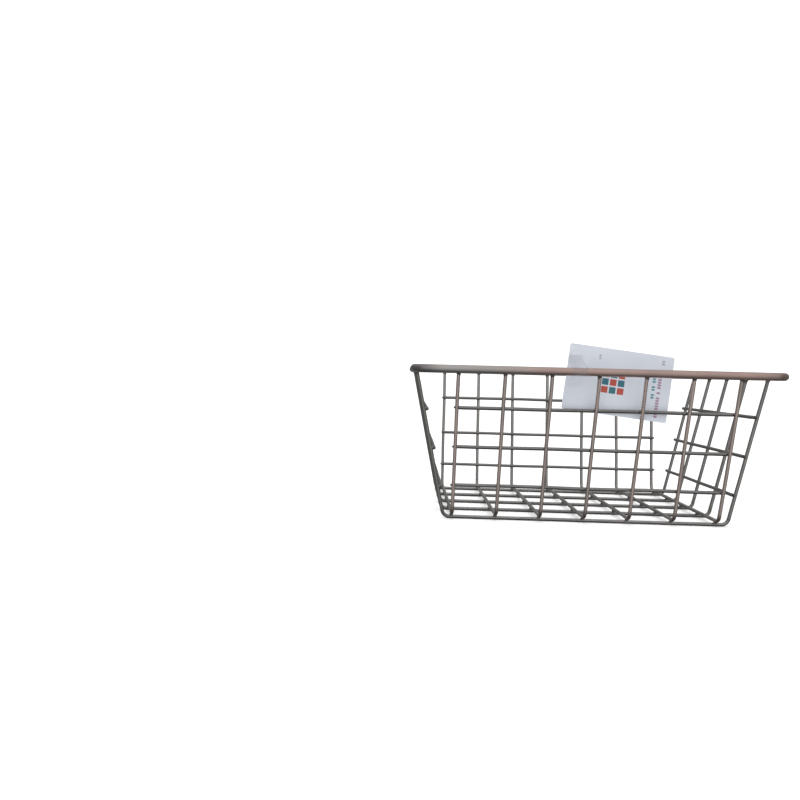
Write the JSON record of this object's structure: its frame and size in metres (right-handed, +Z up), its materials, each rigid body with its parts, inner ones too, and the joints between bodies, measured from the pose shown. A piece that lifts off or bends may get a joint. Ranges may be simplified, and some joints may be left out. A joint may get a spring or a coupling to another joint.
{
  "type": "wire storage basket",
  "caption": "Open rectangular basket of welded copper-finished wire with sloping walls, a thick round rim and a blank hang tag that swings on the rim.",
  "frame": {"origin": "middle of the underside of the basket's box, on the surface that it stands on", "axes": "+X along the basket's length, -Y towards the front wall that carries the tag, +Z up"},
  "size_m": [0.307, 0.2299, 0.1535],
  "materials": {
    "copper_rim": "rosy antique-copper plating under clear lacquer, satin gloss, slightly worn",
    "copper_wire": "darker antique-copper plating under clear lacquer, satin gloss, grey-brown in places",
    "tag_board": null,
    "strap_plastic": "clear adhesive film with a faint grey tint"
  },
  "bodies": {
    "basket": {"rim": "copper_rim", "cross_wire_1": "copper_wire", "cross_wire_2": "copper_wire", "cross_wire_3": "copper_wire", "cross_wire_4": "copper_wire", "cross_wire_5": "copper_wire", "cross_wire_6": "copper_wire", "cross_wire_7": "copper_wire", "long_wire_1": "copper_wire", "long_wire_2": "copper_wire", "long_wire_3": "copper_wire", "long_wire_4": "copper_wire", "long_wire_5": "copper_wire", "front_rail_low": "copper_wire", "front_rail_middle": "copper_wire", "front_rail_top": "copper_wire", "back_rail_low": "copper_wire", "back_rail_middle": "copper_wire", "back_rail_top": "copper_wire", "left_end_rail_low": "copper_wire", "left_end_rail_middle": "copper_wire", "left_end_rail_top": "copper_wire", "right_end_rail_low": "copper_wire", "right_end_rail_middle": "copper_wire", "right_end_rail_top": "copper_wire"},
    "tag": {"tag_card": "tag_board", "tag_strap": "strap_plastic"}
  },
  "joints": [
    {"name": "tag_swing", "type": "hinge", "parent": "basket", "child": "tag", "pos_m": [-0.0166, -0.1113, 0.12965], "axis": [1, 0, 0], "range_deg": [0, 230]}
  ]
}
